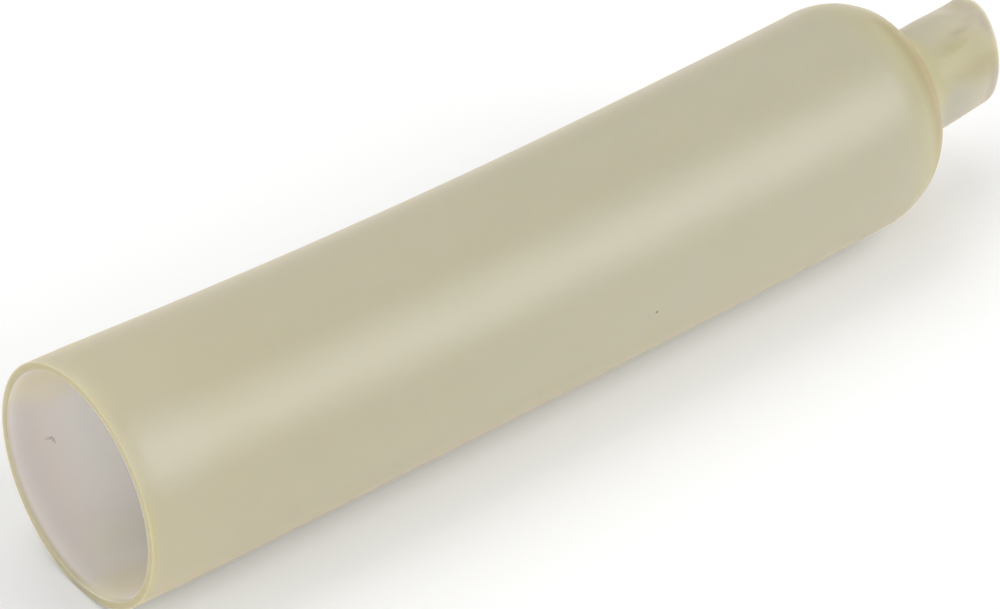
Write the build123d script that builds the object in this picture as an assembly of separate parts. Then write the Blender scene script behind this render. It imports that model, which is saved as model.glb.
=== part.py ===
from build123d import *
import os
from math import asin, atan, cos, degrees, radians, sin, sqrt, tan

# Heat-shrink tube, expanded and not yet shrunk, in one piece.
# A flared open mouth, a long barrel, a rounded shoulder and a short open neck follow each other.
# The tube is slightly bowed and lies on its side, as it comes to rest on a flat surface.
# +X runs from the mouth to the neck and +Z is up.
# The origin is on the surface that the tube lies on, below the middle of its length and width.
# Lengths are in millimetres and angles in degrees.

# Barrel
barrel_od = 25.4
barrel_wall = 0.9
barrel_length = 102.0  # from the cut mouth to the start of the shoulder

# Mouth, with a straight land behind the cut and a flare that dies out along the barrel
mouth_od = 27.0
mouth_land = 5.0
flare_length = 63.0

# Bow of the barrel, the radius of its centre line
bow_radius = 1750.0

# Shoulder, a quarter ellipse in section, pushed towards the hollow side of the bow
shoulder_length = 8.7
shoulder_push = 0.72
shoulder_wall = 1.1

# Neck, off centre towards the outer side of the bow and leaning towards its hollow side
neck_od = 11.9
neck_tip_od = 11.5
neck_bore = 9.0
neck_length = 11.7  # along its axis, beyond the end of the shoulder
neck_offset = 0.5
neck_lean = 3.0
neck_root_fillet = 2.0
neck_cut_slant = 19.0  # from square, with the longest side towards the hollow side of the bow

# Depth of the flat along the underside, which the soft wall takes where the tube lies
resting_flat = 0.08

# Number of round sections that each curved wall is drawn through
barrel_sections = 9
shoulder_sections = 9

barrel_radius = barrel_od / 2
mouth_radius = mouth_od / 2
neck_radius = neck_od / 2
bore_radius = neck_bore / 2
neck_reach = neck_length + neck_radius * tan(radians(neck_cut_slant))
arc_length = barrel_length - mouth_land
half_turn = arc_length / bow_radius / 2


def across(distance):
    """The place on the centre line at this distance from the mouth.

    Its own Z runs along the tube and its own Y points to the outer side of the bow.
    """
    along_arc = min(max(distance - mouth_land, 0), arc_length)
    angle = half_turn - along_arc / bow_radius
    straight = distance - mouth_land - along_arc
    run = Vector(cos(angle), -sin(angle), 0)
    x = bow_radius * (sin(half_turn) - sin(angle))
    y = bow_radius * (cos(half_turn) - cos(angle))
    return Plane(origin=Vector(x, y, 0) + run * straight, x_dir=(0, 0, 1), z_dir=run).location


def flared_radius(distance):
    """Outer radius of the barrel at this distance from the mouth."""
    share = min(max((distance - mouth_land) / flare_length, 0), 1)
    return barrel_radius + (mouth_radius - barrel_radius) * (1 - share) ** 2


def mouth_stretch(inset):
    """The straight land at the mouth, smaller by the inset all round."""
    return extrude(across(0) * Circle(mouth_radius - inset), amount=mouth_land)


def barrel_stretch(inset):
    """The bowed and flared barrel, smaller by the inset all round."""
    sections = []
    for number in range(barrel_sections):
        distance = mouth_land + arc_length * number / (barrel_sections - 1)
        sections.append(across(distance) * Circle(flared_radius(distance) - inset))
    return loft(sections, ruled=True)


def shoulder_stretch(inset, length, end_radius):
    """The rounded shoulder, from the barrel down to the end radius."""
    start_radius = barrel_radius - inset
    sections = []
    for number in range(shoulder_sections):
        angle = radians(90) * number / (shoulder_sections - 1)
        along = length * sin(angle)
        radius = end_radius + (start_radius - end_radius) * cos(angle)
        centre = Pos(0, -shoulder_push * along / shoulder_length)
        sections.append(across(barrel_length + along) * centre * Circle(radius))
    return loft(sections)


def neck_root():
    """The place of the neck's root, with its own Z along the neck."""
    return across(barrel_length + shoulder_length) * Pos(0, neck_offset) * Rot(neck_lean, 0, 0)


def neck_outside():
    """The neck's outer form, a slight cone from inside the shoulder to the slanting cut at its tip."""
    slope = (neck_tip_od / 2 - neck_radius) / neck_length
    root = (neck_radius - slope * shoulder_wall, -shoulder_wall)
    tip = (neck_radius + slope * neck_reach, neck_reach)
    section = Polyline(root, tip, (0, neck_reach), (0, -shoulder_wall), close=True)
    neck = revolve(Plane.XZ * make_face(section), Axis.Z)
    slant = radians(neck_cut_slant)
    cut = Plane((0, 0, neck_length), x_dir=(1, 0, 0), z_dir=(0, sin(slant), cos(slant)))
    return neck_root() * split(neck, bisect_by=cut, keep=Keep.BOTTOM)


def neck_hole():
    """The bore of the neck, from inside the shoulder out through the tip."""
    start = -shoulder_wall - shoulder_length / 2
    bore = extrude(Circle(bore_radius), amount=neck_reach - start)
    return neck_root() * Pos(0, 0, start) * bore


def outside():
    """The tube's outer form, filled."""
    body = mouth_stretch(0) + barrel_stretch(0)
    body += shoulder_stretch(0, shoulder_length, neck_radius)
    neck = neck_outside()
    whole = body + neck
    return fillet(new_edges(body, neck, combined=whole), neck_root_fillet)


def hollow():
    """The space inside the tube, from the mouth to the tip of the neck."""
    space = mouth_stretch(barrel_wall) + barrel_stretch(barrel_wall)
    space += shoulder_stretch(barrel_wall, shoulder_length - shoulder_wall, bore_radius)
    return space + neck_hole()


def lowest(place, radius):
    """Height of the lowest point of the circle of this radius at this place on the tube."""
    return place.position.Z - radius * sqrt(1 - place.z_axis.direction.Z ** 2)


def lying():
    """The turn that lays the tube down.

    It rolls until the middle of the bow comes down about level with the ends of the barrel,
    and tilts until the barrel touches the surface behind the mouth and in its straight half.
    """
    middle = mouth_land + arc_length / 2
    rise = -across(middle).position.Y
    gap = (mouth_radius + barrel_radius) / 2 - flared_radius(middle)
    roll = Rot(degrees(asin(min(max(gap / rise, 0), 1))), 0, 0)
    front = mouth_land
    rear = barrel_length - (arc_length - flare_length) / 2
    drop = lowest(roll * across(rear), barrel_radius) - lowest(roll * across(front), mouth_radius)
    return Rot(0, degrees(atan(drop / (rear - front))), 0) * roll


def heat_shrink_tube():
    """The tube as it lies, over the origin, and the move that puts it there."""
    turn = lying()
    tube = turn * (outside() - hollow())
    box = tube.bounding_box()
    shift = Pos(-box.center().X, -box.center().Y, -box.min.Z - resting_flat)
    return split(shift * tube, bisect_by=Plane.XY, keep=Keep.TOP), shift * turn


if __name__ == "__main__":
    os.makedirs("parts", exist_ok=True)
    export_step(heat_shrink_tube()[0], "parts/heat_shrink_tube.step")
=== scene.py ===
"""The expanded heat-shrink tube, dressed as one smooth, milky sleeve on a pale studio floor."""
import logging
from dataclasses import dataclass
from enum import Enum
from math import asin, cos, pi, radians, sin, sqrt, tan

import bpy
from mathutils import Matrix, Vector


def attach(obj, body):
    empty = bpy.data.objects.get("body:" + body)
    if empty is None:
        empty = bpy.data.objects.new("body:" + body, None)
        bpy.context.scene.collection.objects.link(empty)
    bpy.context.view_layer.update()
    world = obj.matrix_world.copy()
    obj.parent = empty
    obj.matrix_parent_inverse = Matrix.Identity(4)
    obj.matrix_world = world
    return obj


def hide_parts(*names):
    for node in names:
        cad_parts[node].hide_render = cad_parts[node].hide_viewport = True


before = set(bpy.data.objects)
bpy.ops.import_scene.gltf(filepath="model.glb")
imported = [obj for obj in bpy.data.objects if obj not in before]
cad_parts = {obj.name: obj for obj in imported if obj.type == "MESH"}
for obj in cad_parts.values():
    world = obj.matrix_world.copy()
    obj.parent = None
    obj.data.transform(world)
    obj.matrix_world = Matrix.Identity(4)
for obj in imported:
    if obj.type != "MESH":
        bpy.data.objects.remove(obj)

LOG = logging.getLogger("sleeve")
MM = 0.001  # the scene is in metres
TINY = 1e-9  # turns and changes of size below this are left out
TOUCH = 0.001  # millimetres within which a vertex is on a plane
NODE = "heat_shrink_tube"
BODY = "root"
COLOUR = "NodeSocketColor"
FLOAT = "NodeSocketFloat"
VECTOR = "NodeSocketVector"
MIX_UNDER, MIX_OVER, MIX_RESULT = 6, 7, 2  # the colour sockets of a mix
Colour = tuple[float, float, float]
Point = tuple[float, float, float]
WHITE = (1.0, 1.0, 1.0, 1.0)


class Surface(Enum):
    """The three kinds of surface on the sleeve, in the order of its material slots."""

    OUTSIDE = 0
    INSIDE = 1
    CUT = 2


class Measure(Enum):
    """What a band of colour follows, each with the name of the mesh attribute that holds it."""

    ALONG = "along"
    TIP = "tip"


class Axis(Enum):
    """The global axes that a turn goes about."""

    X = (1.0, 0.0, 0.0)
    Y = (0.0, 1.0, 0.0)
    Z = (0.0, 0.0, 1.0)


def clear_selection() -> None:
    """Leave every object deselected and none of them active."""
    bpy.ops.object.select_all(action="DESELECT")
    bpy.context.view_layer.objects.active = None


def edit(obj: bpy.types.Object) -> None:
    """Open one object in edit mode with nothing selected in it.

    Args:
        obj: The mesh object to work on.
    """
    clear_selection()
    obj.select_set(True)
    bpy.context.view_layer.objects.active = obj
    bpy.ops.object.mode_set(mode="EDIT")
    bpy.ops.mesh.select_mode(type="VERT")
    bpy.ops.mesh.select_all(action="DESELECT")


def leave_edit() -> None:
    """Go back to object mode."""
    bpy.ops.object.mode_set(mode="OBJECT")


def open_to_pick(obj: bpy.types.Object, kind: str = "VERT") -> None:
    """Deselect all of a mesh and leave it ready for its parts to be selected one by one.

    Args:
        obj: The mesh object to work on.
        kind: The kind of part to select.
    """
    edit(obj)
    bpy.ops.mesh.select_mode(type=kind)
    leave_edit()


def edit_picked() -> None:
    """Open the active object in edit mode with its selection as it is."""
    bpy.ops.object.mode_set(mode="EDIT")


def turn_selected(angle: float, axis: Axis, centre: Vector) -> None:
    """Turn what is selected by the right-hand rule.

    Args:
        angle: The turn in radians.
        axis: The global axis to turn about.
        centre: The point that stays where it is.
    """
    bpy.ops.transform.rotate(value=-angle, orient_axis=axis.name, center_override=centre)


def pull_selected(move: Vector, reach: float, connected: bool) -> None:
    """Move what is selected, and what lies round it less and less.

    Args:
        move: The full move, in millimetres.
        reach: How far from the selection it dies out, in millimetres.
        connected: Whether only what is joined to the selection along the mesh follows it.
    """
    bpy.ops.transform.translate(
        value=move * MM,
        use_proportional_edit=True,
        use_proportional_connected=connected,
        proportional_edit_falloff="SMOOTH",
        proportional_size=reach * MM,
    )


@dataclass(frozen=True)
class Ring:
    """One round section of a wall, square to a line near the tube's centre line.

    Sizes are in millimetres and the lean is in radians. The side is measured from the centre
    line towards the outer side of the bow, and the ring leans towards its hollow side.
    """

    distance: float
    radius: float
    side: float = 0.0
    lean: float = 0.0


@dataclass(frozen=True)
class Bow:
    """The slightly curved centre line of the tube, straight at both its ends."""

    land: float = 5.0
    length: float = 102.0
    radius: float = 1750.0

    @property
    def half_turn(self) -> float:
        """Half of the angle that the curved stretch goes through, in radians."""
        return (self.length - self.land) / self.radius / 2

    def angle(self, distance: float) -> float:
        """Heading of the line, towards the outer side of the bow, in radians.

        Args:
            distance: Millimetres along the line from the mouth.

        Returns:
            The angle from +X towards -Y.
        """
        along = min(max(distance - self.land, 0.0), self.length - self.land)
        return self.half_turn - along / self.radius

    def place(self, distance: float, side: float = 0.0) -> Vector:
        """Find a point beside the centre line, in the plane of the bow.

        Args:
            distance: Millimetres along the line from the mouth.
            side: Millimetres from the line towards the outer side of the bow.

        Returns:
            The point, in metres.
        """
        along = min(max(distance - self.land, 0.0), self.length - self.land)
        angle = self.angle(distance)
        run = Vector((cos(angle), -sin(angle), 0.0))
        out = Vector((-sin(angle), -cos(angle), 0.0))
        arc = Vector((sin(self.half_turn) - sin(angle), cos(self.half_turn) - cos(angle), 0.0))
        return (arc * self.radius + run * (distance - self.land - along) + out * side) * MM


@dataclass(frozen=True)
class Wall:
    """Sizes of one face of the tube's wall, outer or inner, in millimetres and degrees.

    The rounded root of the neck leaves the shoulder at the root start, counted from square.
    """

    mouth_radius: float
    barrel_radius: float
    neck_radius: float
    tip_radius: float
    shoulder_length: float
    root_round: float
    bow: Bow = Bow()
    flare_length: float = 63.0
    shoulder_push: float = 0.72
    full_shoulder: float = 8.7
    neck_side: float = 0.5
    neck_lean: float = 3.0
    neck_length: float = 11.7
    barrel_rings: int = 40
    shoulder_rings: int = 18
    root_rings: int = 8
    neck_rings: int = 9
    neck_straight: float = 9.2
    neck_swell: float = 0.07
    root_tilt: float = -4.0
    root_start: float = 17.0

    def flared(self, distance: float) -> float:
        """Radius of the barrel at a distance from the mouth."""
        share = min(max((distance - self.bow.land) / self.flare_length, 0.0), 1.0)
        return self.barrel_radius + (self.mouth_radius - self.barrel_radius) * (1 - share) ** 2

    def pushed(self, along: float) -> float:
        """Side of the shoulder's own centre at a distance past the end of the barrel."""
        return -self.shoulder_push * along / self.full_shoulder

    def on_shoulder(self, radius: float, shift: float) -> Ring:
        """Lay a ring on the shoulder so that two opposite points of it touch the round form.

        Args:
            radius: The ring's radius in millimetres.
            shift: 0 for a ring about the shoulder's own centre, 1 for one about the neck's.

        Returns:
            The ring, tilted where it sits off centre.
        """
        reach = self.barrel_radius - self.neck_radius
        own = self.pushed(self.shoulder_length)
        side = own + (self.neck_side - own) * shift
        heights = []
        for way in (1, -1):
            share = (radius + way * (side - own) - self.neck_radius) / reach
            heights.append(self.shoulder_length * sqrt(1 - min(max(share, 0.0), 1.0) ** 2))
        along = sum(heights) / 2
        if shift == 0:
            side = self.pushed(along)
        lean = (heights[0] - heights[1]) / (2 * radius)
        return Ring(self.bow.length + along, radius, side, lean)

    def rings(self, reach: float) -> list[Ring]:
        """List the sections from the mouth to beyond the tip of the neck.

        Args:
            reach: How far past the shoulder the last one stands, in millimetres.

        Returns:
            The sections in order.
        """
        line = [Ring(0.0, self.mouth_radius), Ring(self.bow.land / 2, self.mouth_radius)]
        for number in range(self.barrel_rings):
            share = number / (self.barrel_rings - 1)
            distance = self.bow.land + (self.bow.length - self.bow.land) * share
            line.append(Ring(distance, self.flared(distance)))
        start = self.neck_radius + self.root_round * (1 - sin(radians(self.root_start)))
        shoulder_reach = self.barrel_radius - self.neck_radius
        last = asin(sqrt(1 - ((start - self.neck_radius) / shoulder_reach) ** 2))
        for number in range(1, self.shoulder_rings + 1):
            share = number / self.shoulder_rings
            radius = self.neck_radius + shoulder_reach * cos(last * share)
            # The rings pass over to the neck's own centre in the last third of the shoulder.
            late = max(0.0, share * 3 - 2)
            line.append(self.on_shoulder(radius, late ** 2))
        return line + self.neck(line[-1], reach)

    def neck(self, root: Ring, reach: float) -> list[Ring]:
        """List the sections of the rounded root and of the neck.

        Args:
            root: The last section on the shoulder.
            reach: How far past the shoulder the last one stands, in millimetres.

        Returns:
            The sections in order.
        """
        line = []
        lean = radians(self.neck_lean)
        first = radians(self.root_start)
        for number in range(1, self.root_rings + 1):
            share = number / self.root_rings
            angle = first + (pi / 2 - first) * share
            rise = self.root_round * (cos(first) - cos(angle))
            beyond = root.distance + rise - self.bow.length - self.full_shoulder
            side = self.neck_side - tan(lean) * beyond * share
            radius = self.neck_radius + self.root_round * (1 - sin(angle))
            tilt = root.lean + (radians(self.root_tilt) - root.lean) * share
            line.append(Ring(root.distance + rise, radius, side, tilt))
        start = line[-1].distance - self.bow.length - self.full_shoulder
        for number in range(1, self.neck_rings + 1):
            share = number / self.neck_rings
            ring = self.neck_ring(start + (self.neck_straight - start) * share)
            # The rings come square to the neck over the first half of its straight stretch.
            settled = min(1.0, share * 2)
            tilt = radians(self.root_tilt) * (1 - settled) + lean * settled
            line.append(Ring(ring.distance, ring.radius, ring.side, tilt))
        line.append(self.neck_ring(reach))
        return line

    def neck_ring(self, height: float) -> Ring:
        """Section of the neck at a height along its own axis, past the end of the shoulder."""
        lean = radians(self.neck_lean)
        share = max(height, 0.0) / self.neck_length
        swell = self.neck_swell * sin(pi * min(share, 1.0)) ** 2
        radius = self.neck_radius + (self.tip_radius - self.neck_radius) * share + swell
        distance = self.bow.length + self.full_shoulder + height * cos(lean)
        return Ring(distance, radius, self.neck_side - height * sin(lean) - swell, lean)


@dataclass(frozen=True)
class Nudge:
    """A soft move of the mesh round one spot of the tube as it lies, in millimetres."""

    spot: Point
    move: Point
    reach: float


@dataclass
class Sleeve:
    """The tube itself: an outer and an inner wall, cut at the mouth and at the tip of the neck.

    Sizes are in millimetres and angles in degrees. The land end is where the start of the barrel's
    curved stretch comes to lie.
    """

    outer: Wall
    inner: Wall
    materials: dict[Surface, bpy.types.Material]
    bow: Bow = Bow()
    facets: int = 192
    neck_overshoot: float = 15.0
    cut_slant: float = 19.0
    tip_cuts: int = 5
    edge_round: float = 0.22
    edge_segments: int = 3
    crisp_angle: float = 40.0
    roll: float = 32.151
    tilt: float = 0.42424
    land_end: Point = (-56.7277, -0.0616, 13.4195)
    crease_start: Point = (54.3, -2.3, 18.05)
    crease_end: Point = (58.8, -0.8, 18.5)
    crease_width: float = 0.3
    crease_depth: float = 0.16
    crease_reach: float = 1.1
    neck_middle: Point = (56.0, 0.0, 12.8)
    tip_ease: Nudge = Nudge((59.9, 2.4, 18.0), (0.15, -0.2, -0.5), 3.4)
    root_lift: Nudge = Nudge((50.8, 3.8, 17.4), (-0.15, 0.36, 0.36), 3.0)

    def build(self) -> bpy.types.Object:
        """Model the sleeve, lay it down and mark its zones.

        Returns:
            The finished object, at the origin.
        """
        outer = self.draw_wall("outer_wall", self.outer, Surface.OUTSIDE)
        inner = self.draw_wall("inner_wall", self.inner, Surface.INSIDE)
        sleeve = self.join(outer, inner)
        self.cut_neck(sleeve)
        self.divide_tip(sleeve)
        self.close_cuts(sleeve)
        self.soften_cuts(sleeve)
        self.mark_zones(sleeve)
        self.lay_down(sleeve)
        self.crease_neck(sleeve)
        self.nudge(sleeve, self.tip_ease)
        self.nudge(sleeve, self.root_lift)
        self.shade(sleeve)
        return sleeve

    def draw_wall(self, name: str, wall: Wall, surface: Surface) -> bpy.types.Object:
        """Draw a circle out, ring by ring, along the tube.

        Args:
            name: Name of the new object.
            wall: The sizes that its rings come from.
            surface: The side of the wall that it is.

        Returns:
            The open shell, with its faces turned away from the plastic.
        """
        rings = wall.rings(self.neck_overshoot)
        clear_selection()
        angle = self.bow.angle(rings[0].distance)
        bpy.ops.mesh.primitive_circle_add(
            vertices=self.facets,
            radius=rings[0].radius * MM,
            fill_type="NOTHING",
            location=self.bow.place(rings[0].distance),
            rotation=(0.0, pi / 2, -angle),
        )
        shell = bpy.context.object
        shell.name = name
        bpy.ops.object.transform_apply(location=True, rotation=True, scale=True)
        edit(shell)
        bpy.ops.mesh.select_all(action="SELECT")
        for last, ring in zip(rings, rings[1:]):
            self.draw_ring(last, ring)
        bpy.ops.mesh.select_all(action="SELECT")
        bpy.ops.mesh.normals_make_consistent(inside=surface is Surface.INSIDE)
        leave_edit()
        for finish in self.materials.values():
            shell.data.materials.append(finish)
        for face in shell.data.polygons:
            face.material_index = surface.value
        return shell

    def draw_ring(self, last: Ring, ring: Ring) -> None:
        """Extrude the selected ring to the next one, turn it and size it.

        Args:
            last: The section that is selected.
            ring: The section to draw.
        """
        here = self.bow.place(last.distance, last.side)
        there = self.bow.place(ring.distance, ring.side)
        bpy.ops.mesh.extrude_edges_move(TRANSFORM_OT_translate={"value": there - here})
        old = self.bow.angle(last.distance) - last.lean
        new = self.bow.angle(ring.distance) - ring.lean
        if abs(new - old) > TINY:
            turn_selected(old - new, Axis.Z, there)
        size = ring.radius / last.radius
        if abs(size - 1) > TINY:
            bpy.ops.transform.resize(value=(size, size, size), center_override=there)

    def join(self, outer: bpy.types.Object, inner: bpy.types.Object) -> bpy.types.Object:
        """Make one object of the two walls.

        Args:
            outer: The outer wall.
            inner: The inner wall.

        Returns:
            The joined object.
        """
        clear_selection()
        inner.select_set(True)
        outer.select_set(True)
        bpy.context.view_layer.objects.active = outer
        bpy.ops.object.join()
        outer.name = "sleeve"
        outer.data.name = "sleeve"
        return outer

    def tip_plane(self) -> tuple[Vector, Vector]:
        """Find the slanting cut at the tip, in the plane of the bow.

        Returns:
            A point on it, and its normal, which points out of the neck.
        """
        wall = self.outer
        top = wall.neck_ring(wall.neck_length)
        heading = self.bow.angle(top.distance) - radians(wall.neck_lean) + radians(self.cut_slant)
        return self.bow.place(top.distance, top.side), Vector((cos(heading), -sin(heading), 0.0))

    def cut_neck(self, sleeve: bpy.types.Object) -> None:
        """Cut both walls along the slanting plane at the tip of the neck."""
        point, normal = self.tip_plane()
        edit(sleeve)
        bpy.ops.mesh.select_all(action="SELECT")
        bpy.ops.mesh.bisect(plane_co=point, plane_no=normal, clear_outer=True, use_fill=False)
        leave_edit()

    def divide_tip(self, sleeve: bpy.types.Object) -> None:
        """Divide the long faces at the tip of the neck, so that the crease has points to move."""
        point, normal = self.tip_plane()
        open_to_pick(sleeve, "EDGE")
        cut = [
            abs((vertex.co - point).dot(normal)) < TOUCH * MM for vertex in sleeve.data.vertices
        ]
        for edge in sleeve.data.edges:
            first, second = edge.vertices
            edge.select = cut[first] != cut[second]
        edit_picked()
        bpy.ops.mesh.subdivide(number_cuts=self.tip_cuts)
        leave_edit()

    def close_cuts(self, sleeve: bpy.types.Object) -> None:
        """Bridge the two walls at the mouth and at the tip, which makes the cut faces."""
        middle = self.bow.place(self.bow.length / 2).x
        for near_mouth in (True, False):
            edit(sleeve)
            bpy.ops.mesh.select_mode(type="EDGE")
            bpy.ops.mesh.select_non_manifold(
                extend=False, use_wire=False, use_boundary=True, use_multi_face=False,
                use_non_contiguous=False, use_verts=False,
            )
            leave_edit()
            for edge in sleeve.data.edges:
                end = sleeve.data.vertices[edge.vertices[0]].co.x < middle
                edge.select = edge.select and end == near_mouth
            before = len(sleeve.data.polygons)
            edit_picked()
            bpy.ops.mesh.bridge_edge_loops()
            leave_edit()
            for face in sleeve.data.polygons[before:]:
                face.material_index = Surface.CUT.value

    def soften_cuts(self, sleeve: bpy.types.Object) -> None:
        """Round the edges of the cuts a little."""
        open_to_pick(sleeve, "FACE")
        for face in sleeve.data.polygons:
            face.select = face.material_index == Surface.CUT.value
        edit_picked()
        bpy.ops.mesh.region_to_loop()
        bpy.ops.mesh.bevel(
            offset=self.edge_round * MM,
            segments=self.edge_segments,
            affect="EDGES",
            clamp_overlap=True,
        )
        leave_edit()

    def mark_zones(self, sleeve: bpy.types.Object) -> None:
        """Write how far each vertex is from the mouth and from the cut tip, in millimetres."""
        point, normal = self.tip_plane()
        mesh = sleeve.data
        along = mesh.attributes.new(Measure.ALONG.value, "FLOAT", "POINT")
        tip = mesh.attributes.new(Measure.TIP.value, "FLOAT", "POINT")
        for vertex in mesh.vertices:
            along.data[vertex.index].value = vertex.co.x / MM + self.bow.land
            tip.data[vertex.index].value = (point - vertex.co).dot(normal) / MM

    def lay_down(self, sleeve: bpy.types.Object) -> None:
        """Roll and tilt the tube as it lies, and press the small flat into its underside."""
        edit(sleeve)
        bpy.ops.mesh.select_all(action="SELECT")
        origin = Vector((0.0, 0.0, 0.0))
        turn_selected(radians(self.roll), Axis.X, origin)
        turn_selected(radians(self.tilt), Axis.Y, origin)
        bpy.ops.transform.translate(value=Vector(self.land_end) * MM)
        leave_edit()
        open_to_pick(sleeve)
        for vertex in sleeve.data.vertices:
            vertex.select = vertex.co.z < 0
        edit_picked()
        bpy.ops.transform.resize(value=(1.0, 1.0, 0.0), center_override=origin)
        leave_edit()

    def crease_neck(self, sleeve: bpy.types.Object) -> None:
        """Press a shallow crease into the outer wall of the neck."""
        start = Vector(self.crease_start) * MM
        end = Vector(self.crease_end) * MM
        run = end - start
        middle = (start + end) / 2
        inward = (Vector(self.neck_middle) * MM - middle).normalized()
        open_to_pick(sleeve)
        outer = {
            index
            for face in sleeve.data.polygons
            if face.material_index == Surface.OUTSIDE.value
            for index in face.vertices
        }
        for vertex in sleeve.data.vertices:
            share = min(max((vertex.co - start).dot(run) / run.length_squared, 0.0), 1.0)
            gap = (vertex.co - start - run * share).length
            vertex.select = vertex.index in outer and gap < self.crease_width * MM
        edit_picked()
        pull_selected(inward * self.crease_depth, self.crease_reach, connected=True)
        leave_edit()

    def nudge(self, sleeve: bpy.types.Object, nudge: Nudge) -> None:
        """Move the vertex nearest to a spot, and the ones round it less and less.

        Args:
            sleeve: The tube as it lies.
            nudge: The spot and the move.
        """
        spot = Vector(nudge.spot) * MM
        open_to_pick(sleeve)
        nearest = min(sleeve.data.vertices, key=lambda vertex: (vertex.co - spot).length)
        nearest.select = True
        edit_picked()
        pull_selected(Vector(nudge.move), nudge.reach, connected=False)
        leave_edit()

    def shade(self, sleeve: bpy.types.Object) -> None:
        """Shade the walls smooth and keep the cuts crisp."""
        clear_selection()
        sleeve.select_set(True)
        bpy.context.view_layer.objects.active = sleeve
        bpy.ops.object.shade_smooth_by_angle(angle=radians(self.crisp_angle))


@dataclass(frozen=True)
class Tint:
    """Linear colours of one surface: where the plastic is clear, and where it is cloudy."""

    clear: Colour
    cloud: Colour
    size: float = 60.0
    amount: float = 0.5


@dataclass(frozen=True)
class Gloss:
    """How the surface shines, and how far light travels in the plastic under it.

    The relief's height and the depth are in millimetres, and the travel is the share of the depth
    that red, green and blue light each go.
    """

    roughness: float = 0.34
    spread: float = 0.05
    grain: float = 2600.0
    relief: float = 0.04
    relief_height: float = 0.2
    ior: float = 1.5
    specular: float = 0.5
    milkiness: float = 1.0
    travel: Colour = (1.0, 0.85, 0.6)
    depth: float = 3.0
    sheen: float = 0.0
    sheen_tint: Colour = (1.0, 0.72, 0.4)
    sheen_roughness: float = 0.4


@dataclass(frozen=True)
class Zone:
    """A band of another colour, in millimetres of the measure that it follows."""

    measure: Measure
    start: float
    end: float
    blend: float
    colour: Colour
    strength: float


@dataclass(frozen=True)
class Mark:
    """A small mark or patch at a point on the tube, in millimetres."""

    centre: Point
    reach: float
    blend: float
    colour: Colour
    strength: float
    stretch: Point = (1.0, 1.0, 1.0)


@dataclass(frozen=True)
class Texture:
    """The noises in the plastic: scales per metre, and how each is drawn out along the tube.

    The cloudy patches fade in from low to high, and the middle is the mean of a noise.
    """

    cloud_draw: Point = (0.35, 1.0, 1.0)
    cloud_detail: float = 3.0
    cloud_low: float = 0.32
    cloud_high: float = 0.68
    line_draw: Point = (0.04, 1.0, 1.0)
    line_scale: float = 420.0
    grain_detail: float = 2.0
    patch_scale: float = 90.0
    patch_detail: float = 3.0
    middle: float = 0.5


@dataclass
class Board:
    """Adds nodes to one tree and joins them."""

    tree: bpy.types.NodeTree

    def add(
        self, kind: str, feeds: dict[int | str, object] | None = None, **options: object
    ) -> bpy.types.Node:
        """Add a node, set its options and feed its inputs.

        Args:
            kind: Type name of the node.
            feeds: For each input, by name or number, a socket to join or a value to set.
            options: Properties of the node.

        Returns:
            The new node.
        """
        node = self.tree.nodes.new(kind)
        for name, value in options.items():
            setattr(node, name, value)
        self.feed(node, feeds or {})
        return node

    def feed(self, node: bpy.types.Node, feeds: dict[int | str, object]) -> None:
        """Join a socket to each input, or set its value.

        Args:
            node: The node to feed.
            feeds: For each input, by name or number, a socket to join or a value to set.
        """
        for name, value in feeds.items():
            if isinstance(value, bpy.types.NodeSocket):
                self.tree.links.new(value, node.inputs[name])
            else:
                node.inputs[name].default_value = value

    def math(self, kind: str, first: object, second: object) -> bpy.types.NodeSocket:
        """Work out one number from two, by the named operation."""
        return self.add("ShaderNodeMath", {0: first, 1: second}, operation=kind).outputs[0]

    def ease(
        self, value: object, low: object, high: object, top: object = 1.0
    ) -> bpy.types.NodeSocket:
        """Rise softly from 0 to the top as the value goes from low to high.

        Args:
            value: The socket to follow.
            low: Where the rise starts.
            high: Where it ends, which may be less than low.
            top: What it ends at.

        Returns:
            The socket of the result.
        """
        feeds = {"Value": value, "From Min": low, "From Max": high, "To Max": top}
        return self.add("ShaderNodeMapRange", feeds, interpolation_type="SMOOTHSTEP").outputs[0]

    def mix(self, share: object, under: object, over: object) -> bpy.types.NodeSocket:
        """Mix a share of one colour over another."""
        feeds = {0: share, MIX_UNDER: under, MIX_OVER: over}
        return self.add("ShaderNodeMix", feeds, data_type="RGBA").outputs[MIX_RESULT]

    def noise(self, place: object, scale: object, detail: float) -> bpy.types.NodeSocket:
        """Add a noise over a place."""
        feeds = {"Vector": place, "Scale": scale, "Detail": detail}
        return self.add("ShaderNodeTexNoise", feeds).outputs[0]

    def scale(self, place: object, scale: Point) -> bpy.types.NodeSocket:
        """Scale a place along each axis."""
        return self.add("ShaderNodeMapping", {"Vector": place, "Scale": scale}).outputs[0]


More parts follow.
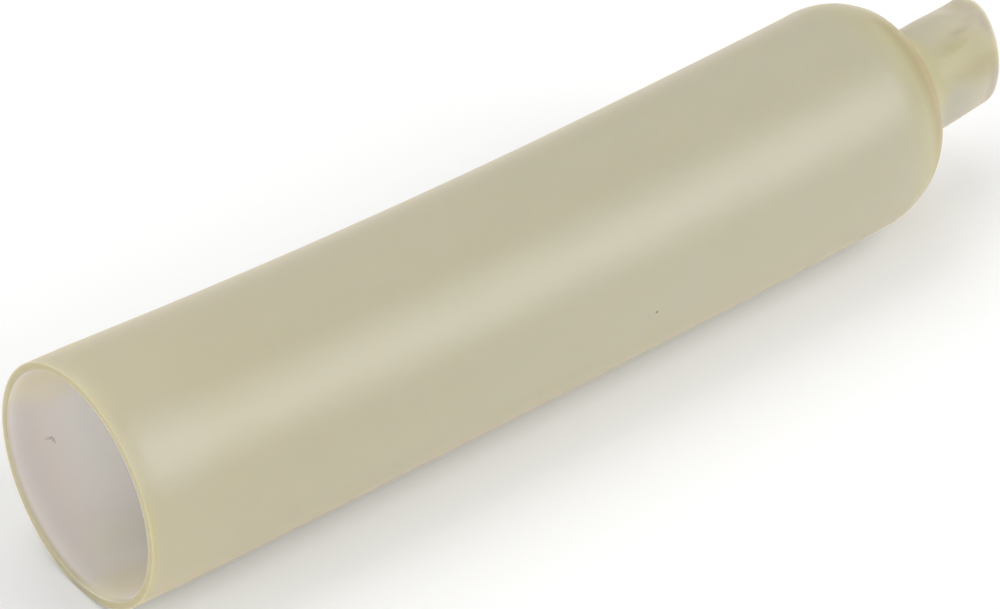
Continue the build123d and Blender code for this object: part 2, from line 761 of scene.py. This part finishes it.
@dataclass
class Groups:
    """The shader groups that the sleeve's materials share, each built once."""

    texture: Texture = Texture()

    def __post_init__(self) -> None:
        """Build all the groups."""
        self.cloudy_tint = self.make_cloudy_tint()
        self.satin_skin = self.make_satin_skin()
        self.zone = self.make_zone()
        self.mark = self.make_mark()

    @staticmethod
    def start(
        name: str, inputs: dict[str, str], outputs: dict[str, str]
    ) -> tuple[Board, bpy.types.bpy_prop_collection]:
        """Make a shader group with named sockets.

        Args:
            name: Name of the group.
            inputs: Socket kind of each input.
            outputs: Socket kind of each output.

        Returns:
            A board for its nodes, and the sockets that its inputs come from.
        """
        tree = bpy.data.node_groups.new(name, "ShaderNodeTree")
        for way, sockets in (("INPUT", inputs), ("OUTPUT", outputs)):
            for label, kind in sockets.items():
                tree.interface.new_socket(label, in_out=way, socket_type=kind)
        return Board(tree), tree.nodes.new("NodeGroupInput").outputs

    @staticmethod
    def finish(board: Board, results: dict[str, bpy.types.NodeSocket]) -> bpy.types.NodeTree:
        """Join the results to the group's outputs.

        Args:
            board: The board of the group.
            results: The socket that feeds each output.

        Returns:
            The finished group.
        """
        board.add("NodeGroupOutput", results)
        return board.tree

    def make_cloudy_tint(self) -> bpy.types.NodeTree:
        """Two colours in soft patches, drawn out along the tube."""
        board, given = self.start(
            "cloudy_tint",
            {"Clear": COLOUR, "Cloud": COLOUR, "Size": FLOAT, "Amount": FLOAT},
            {"Colour": COLOUR},
        )
        texture = self.texture
        place = board.add("ShaderNodeTexCoord").outputs["Object"]
        drawn = board.scale(place, texture.cloud_draw)
        noise = board.noise(drawn, given["Size"], texture.cloud_detail)
        share = board.ease(noise, texture.cloud_low, texture.cloud_high, given["Amount"])
        return self.finish(board, {"Colour": board.mix(share, given["Clear"], given["Cloud"])})

    def make_satin_skin(self) -> bpy.types.NodeTree:
        """Roughness and relief of drawn plastic: a fine grain and faint lines along the tube."""
        board, given = self.start(
            "satin_skin",
            {"Roughness": FLOAT, "Spread": FLOAT, "Grain": FLOAT},
            {"Roughness": FLOAT, "Height": FLOAT},
        )
        texture = self.texture
        place = board.add("ShaderNodeTexCoord").outputs["Object"]
        drawn = board.scale(place, texture.line_draw)
        lines = board.noise(drawn, texture.line_scale, texture.grain_detail)
        grain = board.noise(place, given["Grain"], texture.grain_detail)
        patches = board.noise(place, texture.patch_scale, texture.patch_detail)
        centred = board.math("SUBTRACT", patches, texture.middle)
        change = board.math("MULTIPLY", centred, given["Spread"])
        rough = board.math("ADD", change, given["Roughness"])
        height = board.math("ADD", lines, grain)
        return self.finish(board, {"Roughness": rough, "Height": height})

    def make_zone(self) -> bpy.types.NodeTree:
        """A mask that is full between two values and dies out softly beyond them."""
        board, given = self.start(
            "zone",
            {"Place": FLOAT, "Start": FLOAT, "End": FLOAT, "Blend": FLOAT},
            {"Mask": FLOAT},
        )
        sides = []
        for edge, sign in (("Start", 1.0), ("End", -1.0)):
            gap = board.math("SUBTRACT", given["Place"], given[edge])
            inward = board.math("MULTIPLY", gap, sign)
            least = board.math("MULTIPLY", given["Blend"], -1.0)
            sides.append(board.ease(inward, least, given["Blend"]))
        return self.finish(board, {"Mask": board.math("MULTIPLY", *sides)})

    def make_mark(self) -> bpy.types.NodeTree:
        """A mask round a point of the tube, longer or shorter along each axis by the stretch."""
        board, given = self.start(
            "mark",
            {"Centre": VECTOR, "Stretch": VECTOR, "Reach": FLOAT, "Blend": FLOAT},
            {"Mask": FLOAT},
        )
        shaped = board.add("ShaderNodeTexCoord").outputs["Object"]
        for kind, socket in (("SUBTRACT", given["Centre"]), ("DIVIDE", given["Stretch"])):
            step = board.add("ShaderNodeVectorMath", {0: shaped, 1: socket}, operation=kind)
            shaped = step.outputs["Vector"]
        gap = board.add("ShaderNodeVectorMath", {0: shaped}, operation="LENGTH").outputs["Value"]
        edge = board.math("SUBTRACT", given["Reach"], given["Blend"])
        return self.finish(board, {"Mask": board.ease(gap, given["Reach"], edge)})


@dataclass(frozen=True)
class Finish:
    """One material of the sleeve: its tint, its gloss, and the bands and marks over them."""

    name: str
    tint: Tint
    gloss: Gloss
    zones: tuple[Zone, ...] = ()
    marks: tuple[Mark, ...] = ()

    def make(self, groups: Groups) -> bpy.types.Material:
        """Make the material.

        Args:
            groups: The shared shader groups.

        Returns:
            The new material.
        """
        material = bpy.data.materials.new(self.name)
        material.use_nodes = True
        board = Board(material.node_tree)
        gloss = self.gloss
        colour = self.colour(board, groups)
        satin = board.add(
            "ShaderNodeGroup",
            {"Roughness": gloss.roughness, "Spread": gloss.spread, "Grain": gloss.grain},
            node_tree=groups.satin_skin,
        )
        bump = board.add(
            "ShaderNodeBump",
            {
                "Height": satin.outputs["Height"],
                "Strength": gloss.relief,
                "Distance": gloss.relief_height * MM,
            },
        )
        board.feed(material.node_tree.nodes["Principled BSDF"], {
            "Base Color": colour,
            "Roughness": satin.outputs["Roughness"],
            "Normal": bump.outputs["Normal"],
            "IOR": gloss.ior,
            "Specular IOR Level": gloss.specular,
            "Subsurface Weight": gloss.milkiness,
            "Subsurface Radius": gloss.travel,
            "Subsurface Scale": gloss.depth * MM,
            "Sheen Weight": gloss.sheen,
            "Sheen Tint": (*gloss.sheen_tint, 1.0),
            "Sheen Roughness": gloss.sheen_roughness,
        })
        return material

    def colour(self, board: Board, groups: Groups) -> bpy.types.NodeSocket:
        """Lay the bands and the marks over the tint.

        Args:
            board: The board of the material.
            groups: The shared shader groups.

        Returns:
            The socket that gives the colour.
        """
        tint = self.tint
        base = board.add(
            "ShaderNodeGroup",
            {
                "Clear": (*tint.clear, 1.0),
                "Cloud": (*tint.cloud, 1.0),
                "Size": tint.size,
                "Amount": tint.amount,
            },
            node_tree=groups.cloudy_tint,
        )
        colour = base.outputs["Colour"]
        for zone in self.zones:
            measure = board.add("ShaderNodeAttribute", attribute_name=zone.measure.value)
            band = board.add(
                "ShaderNodeGroup",
                {
                    "Place": measure.outputs["Fac"],
                    "Start": zone.start,
                    "End": zone.end,
                    "Blend": zone.blend,
                },
                node_tree=groups.zone,
            )
            colour = self.lay_over(board, colour, band, zone)
        for mark in self.marks:
            spot = board.add(
                "ShaderNodeGroup",
                {
                    "Centre": tuple(size * MM for size in mark.centre),
                    "Stretch": mark.stretch,
                    "Reach": mark.reach * MM,
                    "Blend": mark.blend * MM,
                },
                node_tree=groups.mark,
            )
            colour = self.lay_over(board, colour, spot, mark)
        return colour

    @staticmethod
    def lay_over(
        board: Board, under: bpy.types.NodeSocket, mask: bpy.types.Node, layer: Zone | Mark
    ) -> bpy.types.NodeSocket:
        """Mix one more colour over what is there.

        Args:
            board: The board of the material.
            under: The colour so far.
            mask: The node whose mask says where the new colour goes.
            layer: The new colour, and how much of it shows where the mask is full.

        Returns:
            The socket of the mixed colour.
        """
        share = board.math("MULTIPLY", mask.outputs["Mask"], layer.strength)
        return board.mix(share, under, (*layer.colour, 1.0))


AMBER = (0.385, 0.328, 0.17)
LILAC = (0.50, 0.475, 0.37)
HONEY = (0.445, 0.415, 0.23)
DARK = (0.10, 0.07, 0.04)
SCRATCH = (0.42, 0.40, 0.38)

OUTSIDE = Finish(
    name="sleeve_outside",
    tint=Tint(clear=(0.472, 0.445, 0.325), cloud=(0.488, 0.461, 0.348)),
    gloss=Gloss(roughness=0.37, sheen=0.25),
    zones=(
        # The first stretch is a little darker: painted shade against the light from the mouth
        # side.
        Zone(Measure.ALONG, -5.0, 30.0, 25.0, (0.457, 0.435, 0.322), 1.0),
        # The shoulder is yellower, the neck greyer, and an amber line rings the shoulder's end.
        Zone(Measure.ALONG, 103.5, 140.0, 2.5, (0.472, 0.444, 0.278), 0.9),
        Zone(Measure.ALONG, 111.2, 140.0, 0.9, LILAC, 1.0),
        Zone(Measure.ALONG, 106.1, 111.0, 1.1, AMBER, 1.0),
        # The root of the neck is yellow, and brightened as painted light against the shade in its
        # hollow.
        Zone(Measure.ALONG, 111.4, 113.2, 0.8, (0.53, 0.50, 0.30), 0.8),
        # Both cut edges show a strip of their own.
        Zone(Measure.TIP, -1.0, 1.3, 0.6, (0.40, 0.377, 0.34), 0.75),
        Zone(Measure.ALONG, -1.0, 0.3, 0.25, HONEY, 0.6),
    ),
    marks=(
        # A yellower patch on top of the shoulder.
        Mark((44.8, 4.2, 23.6), 7.0, 5.0, (0.472, 0.445, 0.31), 0.8),
        # The neck has yellow and darker patches, painted shade in its crease and a pale lower
        # side.
        Mark((54.8, -4.0, 16.6), 4.4, 3.6, HONEY, 0.8, (1.5, 1.0, 1.0)),
        Mark((57.0, -4.6, 15.4), 3.4, 3.2, (0.405, 0.365, 0.235), 0.45, (1.6, 1.0, 1.0)),
        Mark((56.6, -1.5, 18.3), 0.6, 0.55, (0.41, 0.375, 0.26), 0.6, (3.6, 1.0, 1.0)),
        Mark((53.0, -5.9, 11.4), 4.6, 3.6, (0.452, 0.437, 0.362), 0.9),
        Mark((59.6, 1.4, 18.3), 4.0, 3.6, (0.46, 0.435, 0.34), 0.8),
        Mark((58.4, -4.4, 16.4), 3.0, 2.8, (0.42, 0.395, 0.24), 0.8),
        # A greyer patch under the highlight at the top of the mouth: painted highlight that makes
        # the gloss there look whiter.
        Mark((-57.5, -9.2, 22.5), 9.0, 8.0, (0.465, 0.45, 0.365), 0.8),
        # The dark speck on the barrel.
        Mark((3.57, -13.28, 12.13), 0.17, 0.1, DARK, 0.9, (1.5, 1.0, 1.0)),
    ),
)
INSIDE = Finish(
    name="sleeve_inside",
    tint=Tint(clear=(1.0, 0.915, 0.87), cloud=(0.998, 0.91, 0.868)),
    gloss=Gloss(travel=(1.0, 1.0, 1.0), depth=1.6),
    zones=(
        # Painted shade: less pale near the mouth, where more light falls, and amber at the cut
        # edge, darkened there over the light that the inner edge catches.
        Zone(Measure.ALONG, -1.0, 4.5, 4.5, (0.765, 0.735, 0.71), 1.0),
        Zone(Measure.ALONG, -1.0, 0.45, 0.4, (0.52, 0.48, 0.33), 0.9),
    ),
    marks=(
        # Yellower patches inside the rim, low and at the top; the low ones are painted shade, the
        # shadow under the tube seen through the wall.
        Mark((-58.5, -3.5, 1.3), 6.0, 5.0, (0.82, 0.76, 0.58), 0.85, (1.6, 1.0, 1.0)),
        Mark((-54.5, 2.5, 1.1), 5.0, 4.5, (0.998, 0.92, 0.77), 0.8, (1.6, 1.0, 1.0)),
        Mark((-57.6, 11.2, 18.8), 5.0, 4.4, (0.87, 0.80, 0.62), 0.85, (2.6, 1.0, 1.0)),
        Mark((-54.9, 12.3, 16.2), 4.2, 4.0, (0.92, 0.85, 0.70), 0.8, (1.6, 1.0, 1.0)),
        # The small curved scratch, of four short strokes that overlap.
        Mark((-57.1, 12.03, 9.82), 0.2, 0.19, (0.56, 0.53, 0.51), 0.6, (2.6, 1.0, 1.0)),
        Mark((-56.62, 11.97, 9.72), 0.22, 0.21, SCRATCH, 0.8, (1.9, 1.0, 1.0)),
        Mark((-56.38, 11.86, 9.45), 0.22, 0.21, SCRATCH, 0.8, (1.0, 1.0, 1.5)),
        Mark((-56.25, 11.76, 9.15), 0.16, 0.15, (0.52, 0.50, 0.48), 0.7, (1.0, 1.0, 1.5)),
    ),
)
CUT = Finish(
    name="sleeve_cut",
    tint=Tint(clear=(0.425, 0.385, 0.255), cloud=(0.45, 0.41, 0.29)),
    gloss=Gloss(roughness=0.5),
    # The cut at the tip is greyer than the one at the mouth.
    zones=(Zone(Measure.ALONG, 60.0, 140.0, 1.0, (0.38, 0.355, 0.32), 1.0),),
)
FINISHES = {Surface.OUTSIDE: OUTSIDE, Surface.INSIDE: INSIDE, Surface.CUT: CUT}


@dataclass(frozen=True)
class SoftBox:
    """A rectangular light that faces the tube, with one side along it, in metres and watts."""

    name: str
    direction: Point
    distance: float
    along: float
    across: float
    power: float

    def hang(self) -> None:
        """Hang the light."""
        light = bpy.data.lights.new(self.name, "AREA")
        light.shape = "RECTANGLE"
        light.size, light.size_y = self.along, self.across
        light.energy = self.power
        lamp = bpy.data.objects.new(self.name, light)
        out = Vector(self.direction).normalized()
        side = Vector(Axis.X.value)
        side = (side - out * side.dot(out)).normalized()
        turn = Matrix((side, out.cross(side), out)).transposed()
        lamp.matrix_world = Matrix.Translation(out * self.distance) @ turn.to_4x4()
        bpy.context.scene.collection.objects.link(lamp)


@dataclass(frozen=True)
class Studio:
    """A pale floor, soft light and the camera.

    Places and the floor's size are in metres, angles in degrees, and the lens, its sensor and the
    drop of the floor in millimetres. The floor drops by that much so that it doesn't share a plane
    with the flat under the tube.
    """

    camera_place: Point = (-0.320685, -0.390629, 0.399673)
    azimuth: float = -38.773
    elevation: float = 37.860
    lens: float = 216.0
    sensor: float = 36.0
    floor_size: float = 4.0
    floor_drop: float = 0.02
    floor_shade: float = 0.9
    floor_roughness: float = 0.9
    floor_glow: float = 0.07
    room_light: float = 0.46
    boxes: tuple[SoftBox, ...] = (
        SoftBox("key", (0.494, -0.666, 0.559), 1.0, 0.4, 1.0, 4.2),
        SoftBox("key_middle", (0.494, -0.676, 0.547), 1.0, 0.4, 0.4, 1.5),
        SoftBox("back", (-0.100, 0.420, 0.902), 1.0, 1.0, 0.8, 3.6),
        SoftBox("back_low", (0.000, 0.906, 0.423), 1.0, 1.0, 0.5, 0.9),
        SoftBox("mouth_side", (-0.930, -0.080, 0.359), 1.0, 0.6, 0.6, 2.2),
    )

    def build(self) -> None:
        """Set up the floor, the lights and the camera."""
        self.lay_floor()
        self.hang_lights()
        self.place_camera()

    def lay_floor(self) -> None:
        """Lay one pale sheet under the tube."""
        clear_selection()
        place = (0.0, 0.0, -self.floor_drop * MM)
        bpy.ops.mesh.primitive_plane_add(size=self.floor_size, location=place)
        floor = bpy.context.object
        bpy.ops.object.transform_apply(location=True, rotation=True, scale=True)
        floor.name = "floor"
        material = bpy.data.materials.new("floor")
        material.use_nodes = True
        Board(material.node_tree).feed(material.node_tree.nodes["Principled BSDF"], {
            "Base Color": (self.floor_shade, self.floor_shade, self.floor_shade, 1.0),
            "Roughness": self.floor_roughness,
            "Emission Color": WHITE,
            "Emission Strength": self.floor_glow,
        })
        floor.data.materials.append(material)

    def hang_lights(self) -> None:
        """Fill the room with pale light and hang the soft boxes round the tube."""
        world = bpy.data.worlds.new("studio")
        world.use_nodes = True
        sky = world.node_tree.nodes["Background"]
        Board(world.node_tree).feed(sky, {"Color": WHITE, "Strength": self.room_light})
        bpy.context.scene.world = world
        for box in self.boxes:
            box.hang()

    def place_camera(self) -> None:
        """Look down on the tube, as in the picture that it follows."""
        camera = bpy.data.cameras.new("camera")
        camera.lens = self.lens
        camera.sensor_width = self.sensor
        view = bpy.data.objects.new("camera", camera)
        view.location = self.camera_place
        view.rotation_euler = (radians(90.0 - self.elevation), 0.0, radians(self.azimuth))
        bpy.context.scene.collection.objects.link(view)
        bpy.context.scene.camera = view
        bpy.context.scene.view_settings.view_transform = "Standard"


def main() -> None:
    """Build every piece in order and report it."""
    logging.basicConfig(level=logging.INFO, format="%(name)s: %(message)s")
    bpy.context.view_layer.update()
    outer = Wall(
        mouth_radius=13.5, barrel_radius=12.7, neck_radius=5.95, tip_radius=5.75,
        shoulder_length=8.7, root_round=3.0,
    )
    inner = Wall(
        mouth_radius=12.6, barrel_radius=11.8, neck_radius=4.5, tip_radius=4.5,
        shoulder_length=7.6, root_round=0.5,
    )
    groups = Groups()
    materials = {surface: FINISHES[surface].make(groups) for surface in Surface}
    sleeve = Sleeve(outer, inner, materials).build()
    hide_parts(NODE)
    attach(sleeve, BODY)
    LOG.info("sleeve: %d faces", len(sleeve.data.polygons))
    Studio().build()
    LOG.info("studio in place")


if __name__ == "__main__":
    main()
